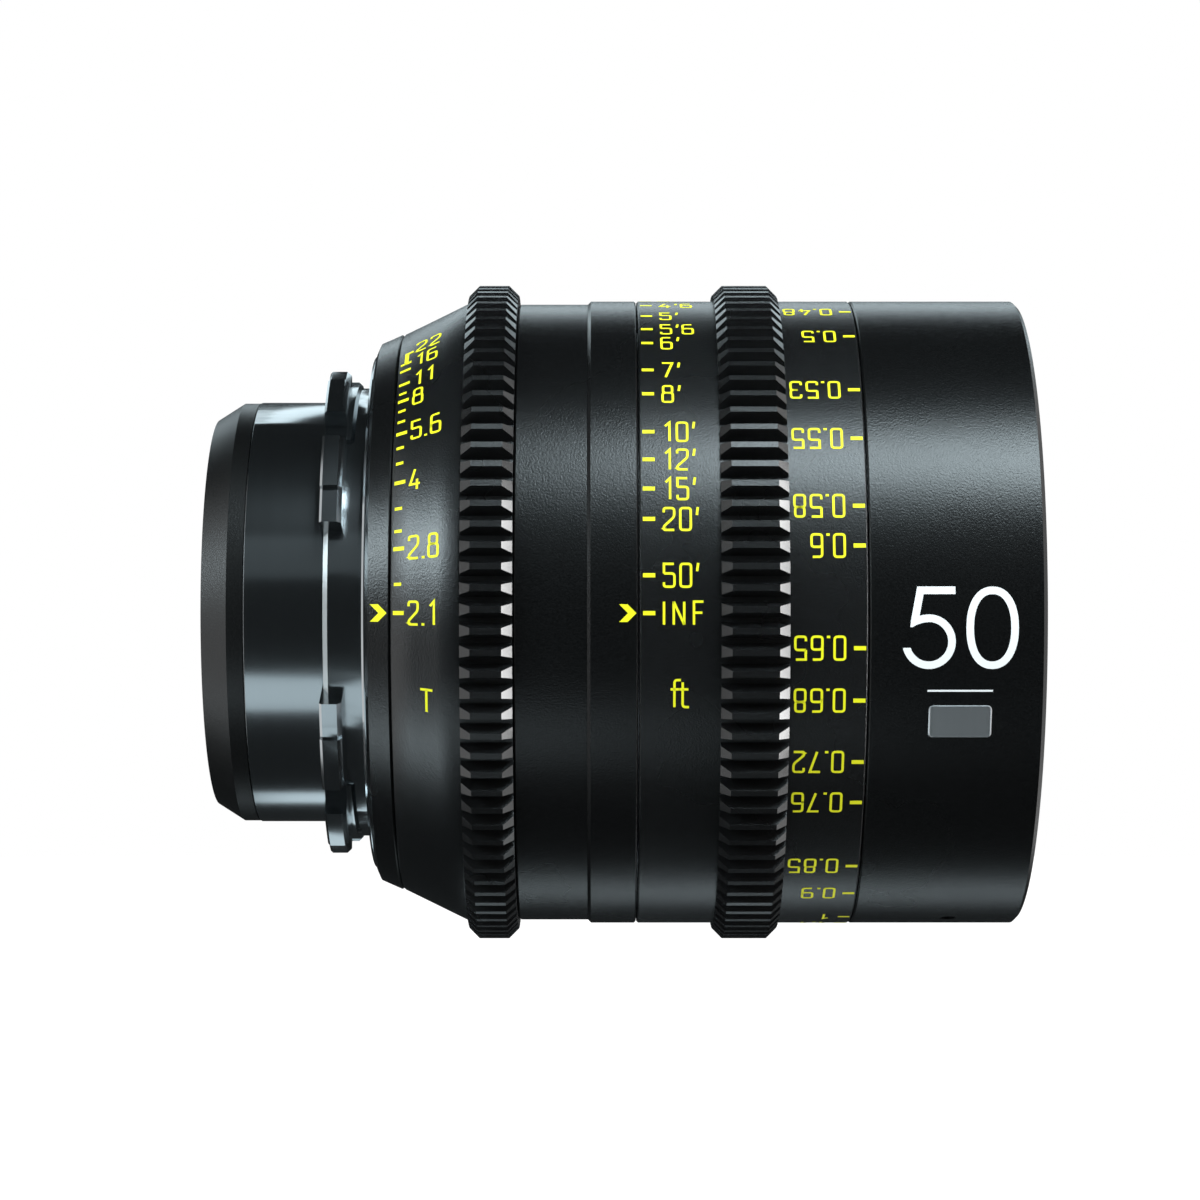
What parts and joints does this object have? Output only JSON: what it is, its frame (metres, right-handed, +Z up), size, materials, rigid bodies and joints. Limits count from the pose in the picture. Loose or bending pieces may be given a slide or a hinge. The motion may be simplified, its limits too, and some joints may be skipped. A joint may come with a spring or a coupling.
{
  "type": "cinema prime lens",
  "caption": "Cinema prime lens with an eared camera mount, geared iris and focus rings, a bladed iris, a cam-driven optical block and a plain front barrel for clamp-on accessories.",
  "frame": {"origin": "on the optical axis in the plane of the mount's flange", "axes": "+X along the optical axis out of the front element, +Z up, index marks facing -Y"},
  "size_m": [0.1019, 0.084, 0.084],
  "materials": {
    "mount_steel": "polished",
    "screw_steel": "satin",
    "matte_black": "matte anodised",
    "black_barrel": "satin anodised",
    "black_ring": "satin anodised",
    "inner_aluminium": "turned",
    "cell_black": "anodised",
    "brass": "turned",
    "coated_glass": "coated",
    "blade_steel": "blackened"
  },
  "bodies": {
    "barrel": {"lens_mount": "mount_steel", "mount_screws": "screw_steel", "rear_baffle": "matte_black", "rear_barrel": "black_barrel", "main_barrel": "black_barrel", "focus_index_ring": "black_barrel", "guide_sleeve": "inner_aluminium", "focus_stop_pin": "screw_steel", "front_barrel": "black_barrel", "front_set_screws": "screw_steel"},
    "iris_ring": {"iris_ring": "black_ring", "iris_key": "screw_steel"},
    "focus_ring": {"focus_ring": "black_ring", "cam_sleeve": "inner_aluminium"},
    "optical_block": {"optical_carrier": "cell_black", "cam_followers": "brass", "front_cell": "cell_black", "front_bezel_ring": "matte_black", "mid_cell": "cell_black", "mid_retaining_ring": "matte_black", "rear_cell": "cell_black", "rear_doublet_ring": "matte_black", "rear_retaining_ring": "matte_black", "lens_1_front_meniscus": "coated_glass", "lens_2_biconvex": "coated_glass", "lens_3_doublet_front": "coated_glass", "lens_4_doublet_rear": "coated_glass", "lens_5_doublet_front": "coated_glass", "lens_6_doublet_rear": "coated_glass", "lens_7_rear_biconvex": "coated_glass", "iris_base_plate": "cell_black", "iris_retaining_ring": "matte_black"},
    "iris_rotor": {"iris_rotor": "inner_aluminium"},
    "iris_blade_1": {"iris_blade_1": "blade_steel"},
    "iris_blade_2": {"iris_blade_2": "blade_steel"},
    "iris_blade_3": {"iris_blade_3": "blade_steel"},
    "iris_blade_4": {"iris_blade_4": "blade_steel"},
    "iris_blade_5": {"iris_blade_5": "blade_steel"},
    "iris_blade_6": {"iris_blade_6": "blade_steel"},
    "iris_blade_7": {"iris_blade_7": "blade_steel"},
    "iris_blade_8": {"iris_blade_8": "blade_steel"},
    "iris_blade_9": {"iris_blade_9": "blade_steel"}
  },
  "joints": [
    {"name": "focus_turn", "type": "hinge", "parent": "barrel", "child": "focus_ring", "pos_m": [0.05, 0, 0], "axis": [1, 0, 0], "range_deg": [0, 270]},
    {"name": "focus_slide", "type": "slide", "parent": "barrel", "child": "optical_block", "axis": [1, 0, 0], "range_m": [0, 0.0073]},
    {"name": "iris_turn", "type": "hinge", "parent": "barrel", "child": "iris_ring", "pos_m": [0.017, 0, 0], "axis": [1, 0, 0], "range_deg": [0, 70]},
    {"name": "rotor_turn", "type": "hinge", "parent": "optical_block", "child": "iris_rotor", "pos_m": [0.024, 0, 0], "axis": [1, 0, 0], "range_deg": [0, 70]},
    {"name": "blade_1_swing", "type": "hinge", "parent": "optical_block", "child": "iris_blade_1", "pos_m": [0.0205, 0, 0.0195], "axis": [1, 0, 0], "range_deg": [0, 32]},
    {"name": "blade_2_swing", "type": "hinge", "parent": "optical_block", "child": "iris_blade_2", "pos_m": [0.0205, -0.01253, 0.01494], "axis": [1, 0, 0], "range_deg": [0, 32]},
    {"name": "blade_3_swing", "type": "hinge", "parent": "optical_block", "child": "iris_blade_3", "pos_m": [0.0205, -0.0192, 0.00339], "axis": [1, 0, 0], "range_deg": [0, 32]},
    {"name": "blade_4_swing", "type": "hinge", "parent": "optical_block", "child": "iris_blade_4", "pos_m": [0.0205, -0.01689, -0.00975], "axis": [1, 0, 0], "range_deg": [0, 32]},
    {"name": "blade_5_swing", "type": "hinge", "parent": "optical_block", "child": "iris_blade_5", "pos_m": [0.0205, -0.00667, -0.01832], "axis": [1, 0, 0], "range_deg": [0, 32]},
    {"name": "blade_6_swing", "type": "hinge", "parent": "optical_block", "child": "iris_blade_6", "pos_m": [0.0205, 0.00667, -0.01832], "axis": [1, 0, 0], "range_deg": [0, 32]},
    {"name": "blade_7_swing", "type": "hinge", "parent": "optical_block", "child": "iris_blade_7", "pos_m": [0.0205, 0.01689, -0.00975], "axis": [1, 0, 0], "range_deg": [0, 32]},
    {"name": "blade_8_swing", "type": "hinge", "parent": "optical_block", "child": "iris_blade_8", "pos_m": [0.0205, 0.0192, 0.00339], "axis": [1, 0, 0], "range_deg": [0, 32]},
    {"name": "blade_9_swing", "type": "hinge", "parent": "optical_block", "child": "iris_blade_9", "pos_m": [0.0205, 0.01253, 0.01494], "axis": [1, 0, 0], "range_deg": [0, 32]}
  ],
  "couplings": [
    {"joint": "focus_slide", "follows": "focus_turn", "m_per_rad": 0.0015491},
    {"joint": "rotor_turn", "follows": "iris_turn", "ratio": 1},
    {"joint": "blade_1_swing", "follows": "iris_turn", "ratio": 0.45714},
    {"joint": "blade_2_swing", "follows": "iris_turn", "ratio": 0.45714},
    {"joint": "blade_3_swing", "follows": "iris_turn", "ratio": 0.45714},
    {"joint": "blade_4_swing", "follows": "iris_turn", "ratio": 0.45714},
    {"joint": "blade_5_swing", "follows": "iris_turn", "ratio": 0.45714},
    {"joint": "blade_6_swing", "follows": "iris_turn", "ratio": 0.45714},
    {"joint": "blade_7_swing", "follows": "iris_turn", "ratio": 0.45714},
    {"joint": "blade_8_swing", "follows": "iris_turn", "ratio": 0.45714},
    {"joint": "blade_9_swing", "follows": "iris_turn", "ratio": 0.45714}
  ]
}
